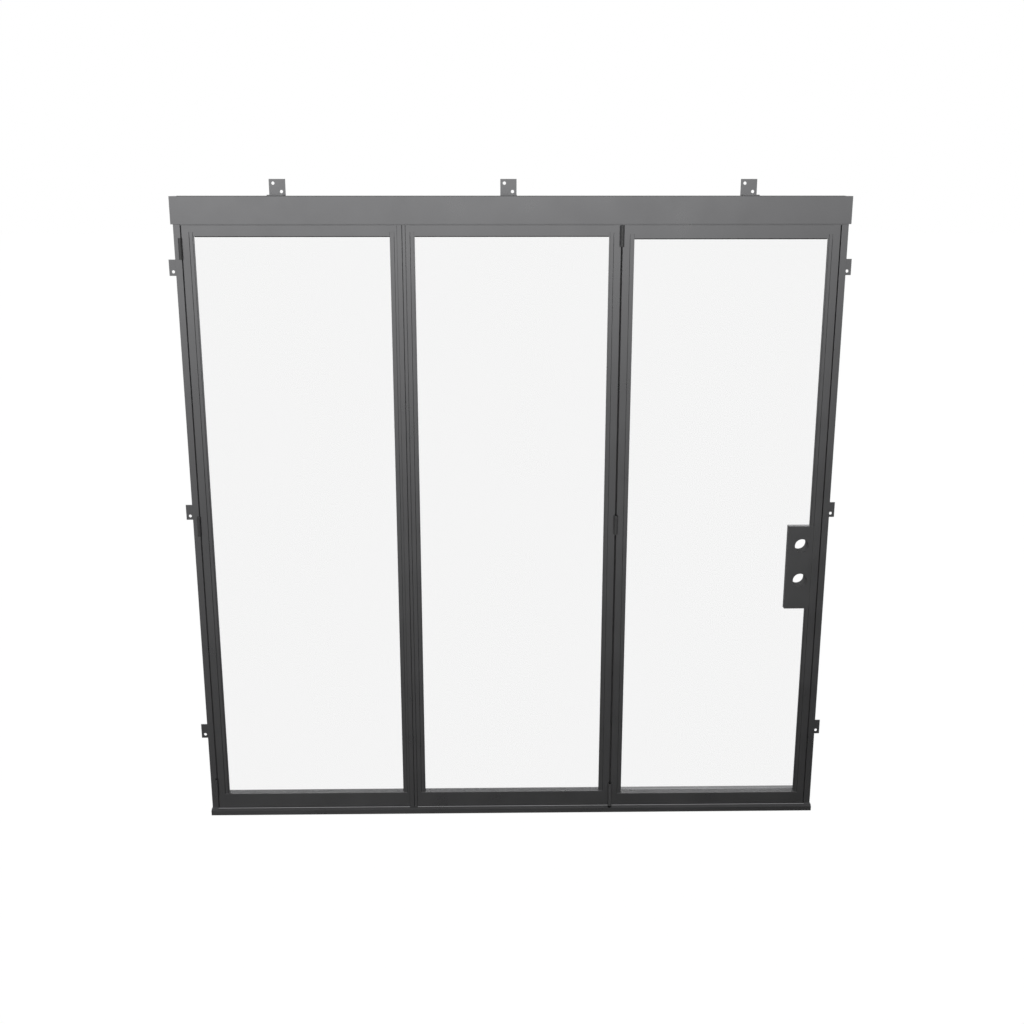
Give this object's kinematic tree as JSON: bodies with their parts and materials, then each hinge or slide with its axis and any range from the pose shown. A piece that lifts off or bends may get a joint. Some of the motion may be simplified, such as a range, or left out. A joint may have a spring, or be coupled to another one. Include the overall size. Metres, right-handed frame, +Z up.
{
  "type": "glazed steel bifold door in its frame",
  "caption": "Glazed steel folding door in its frame, with header box, bevelled sill, barrel hinges, a lock box with through bores, and wall brackets on head and jambs.",
  "frame": {"origin": "centre of the middle head bracket's plate, on its front face, which bears on the wall framing", "axes": "+X along the door to the right as seen from the front, +Y from the front to the back of the frame, +Z up"},
  "size_m": [2.5584, 0.162, 2.4984],
  "materials": {
    "frame_steel": "satin charcoal paint",
    "sill_steel": "satin charcoal paint",
    "leaf_steel": "satin charcoal paint",
    "stop_steel": "satin charcoal paint",
    "lock_steel": "satin charcoal paint",
    "bracket_steel": "satin charcoal paint",
    "hinge_steel": "satin charcoal paint",
    "runner_steel": "plain steel",
    "glass": "clear sealed unit"
  },
  "bodies": {
    "root": {"header": "frame_steel", "sill": "sill_steel", "left_jamb": "frame_steel", "right_jamb": "frame_steel", "head_bracket_left": "bracket_steel", "head_bracket_middle": "bracket_steel", "head_bracket_right": "bracket_steel", "left_jamb_bracket_top": "bracket_steel", "left_jamb_bracket_middle": "bracket_steel", "left_jamb_bracket_bottom": "bracket_steel", "right_jamb_bracket_top": "bracket_steel", "right_jamb_bracket_middle": "bracket_steel", "right_jamb_bracket_bottom": "bracket_steel", "leaf_1_left_stile": "leaf_steel", "leaf_1_right_stile": "leaf_steel", "leaf_1_top_rail": "leaf_steel", "leaf_1_bottom_rail": "leaf_steel", "leaf_1_glass": "glass", "leaf_1_front_stop": "stop_steel", "leaf_2_left_stile": "leaf_steel", "leaf_2_right_stile": "leaf_steel", "leaf_2_top_rail": "leaf_steel", "leaf_2_bottom_rail": "leaf_steel", "leaf_2_glass": "glass", "leaf_2_front_stop": "stop_steel", "leaf_3_left_stile": "leaf_steel", "leaf_3_right_stile": "leaf_steel", "leaf_3_top_rail": "leaf_steel", "leaf_3_bottom_rail": "leaf_steel", "leaf_3_glass": "glass", "leaf_3_front_stop": "stop_steel", "lock_box": "lock_steel", "jamb_hinge_bottom": "hinge_steel", "jamb_hinge_middle": "hinge_steel", "jamb_hinge_top": "hinge_steel", "fold_hinge_bottom": "hinge_steel", "fold_hinge_middle": "hinge_steel", "fold_hinge_top": "hinge_steel", "swing_hinge_bottom": "hinge_steel", "swing_hinge_middle": "hinge_steel", "swing_hinge_top": "hinge_steel", "fold_cover_strip_left": "leaf_steel", "fold_cover_strip_right": "leaf_steel", "top_roller": "runner_steel", "bottom_guide": "runner_steel"}
  },
  "joints": []
}
